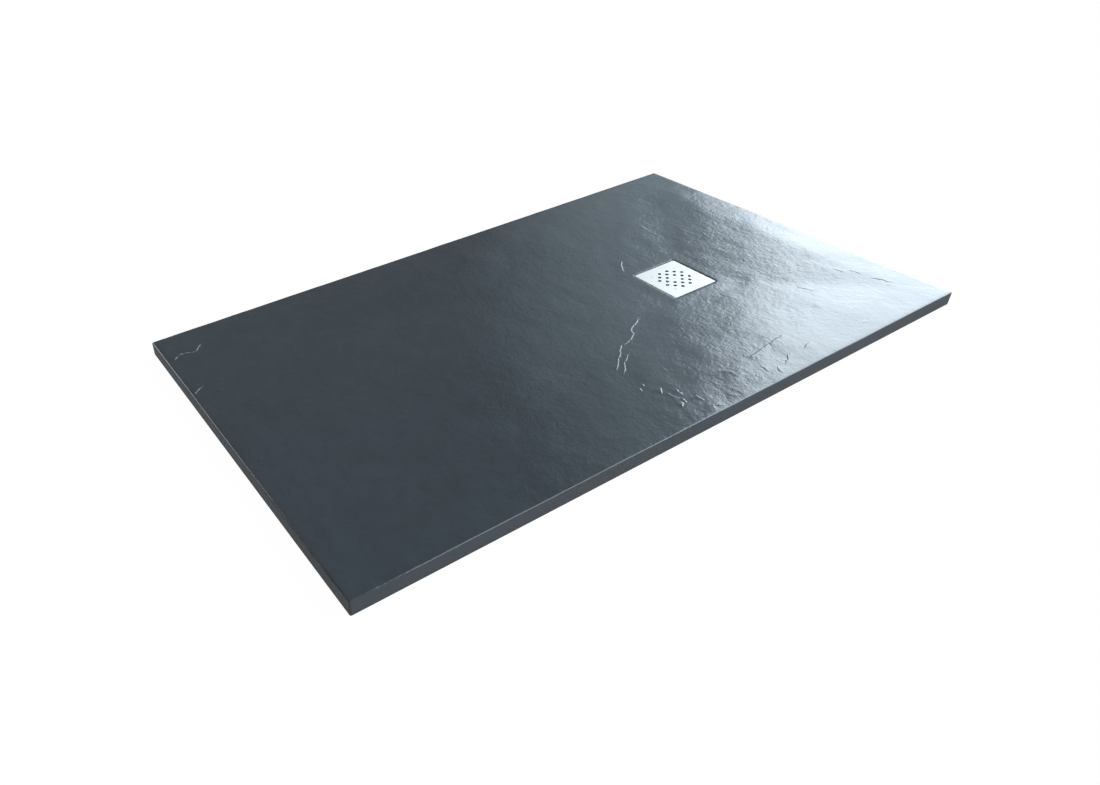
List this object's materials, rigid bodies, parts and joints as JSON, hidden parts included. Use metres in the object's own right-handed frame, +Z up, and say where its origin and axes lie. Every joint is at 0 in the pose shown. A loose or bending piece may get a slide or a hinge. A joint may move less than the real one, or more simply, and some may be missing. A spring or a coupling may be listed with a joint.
{
  "type": "shower tray",
  "caption": "Flat rectangular shower tray with a slate-like face, falls to a square lift-out steel grille, and a water-seal trap with a swivel outlet below.",
  "frame": {"origin": "middle of the tray's flat underside, where it lies on its bed; the trap hangs below it in the floor", "axes": "+X along the long side, towards the short end with the waste; +Y across the tray, away from the side that faces the room; +Z up"},
  "size_m": [1.4, 0.8, 0.115],
  "materials": {
    "slate_resin": "satin",
    "grille_steel": "satin",
    "pin_steel": "satin",
    "screw_steel": "satin",
    "insert_brass": "satin",
    "flange_plastic": "satin",
    "strainer_plastic": "satin",
    "trap_plastic": "satin",
    "cup_plastic": "satin",
    "nut_plastic": "satin",
    "ring_plastic": "satin",
    "seal_rubber": "matte",
    "pad_rubber": "matte"
  },
  "bodies": {
    "base": {"tray": "slate_resin", "clamp_flange": "flange_plastic", "flange_gasket": "seal_rubber", "flange_screws": "screw_steel", "screw_inserts": "insert_brass", "throat_seal": "seal_rubber", "body_gasket": "seal_rubber", "trap_body": "trap_plastic", "outlet_seal_ring": "seal_rubber", "outlet_slip_ring": "ring_plastic", "outlet_union_nut": "nut_plastic"},
    "grille": {"grille_plate": "grille_steel", "grille_feet": "pin_steel", "grille_pads": "pad_rubber", "grille_centre_pin": "pin_steel"},
    "strainer": {"hair_strainer": "strainer_plastic"},
    "trap_insert": {"dip_tube": "cup_plastic", "dip_tube_seal": "seal_rubber", "trap_cup": "cup_plastic"},
    "outlet": {"outlet_tail": "trap_plastic"}
  },
  "joints": [
    {"name": "grille_lift", "type": "slide", "parent": "base", "child": "grille", "axis": [0, 0, 1], "range_m": [0, 0.16]},
    {"name": "strainer_lift", "type": "slide", "parent": "base", "child": "strainer", "axis": [0, 0, 1], "range_m": [0, 0.135]},
    {"name": "insert_lift", "type": "slide", "parent": "base", "child": "trap_insert", "axis": [0, 0, 1], "range_m": [0, 0.11]},
    {"name": "outlet_swivel", "type": "hinge", "parent": "base", "child": "outlet", "pos_m": [0.402, -0.025, -0.04], "axis": [0, 0, 1], "range_deg": [-10, 10]}
  ],
  "couplings": [
    {"joint": "strainer_lift", "follows": "grille_lift", "ratio": 0.84375},
    {"joint": "insert_lift", "follows": "grille_lift", "ratio": 0.6875}
  ]
}
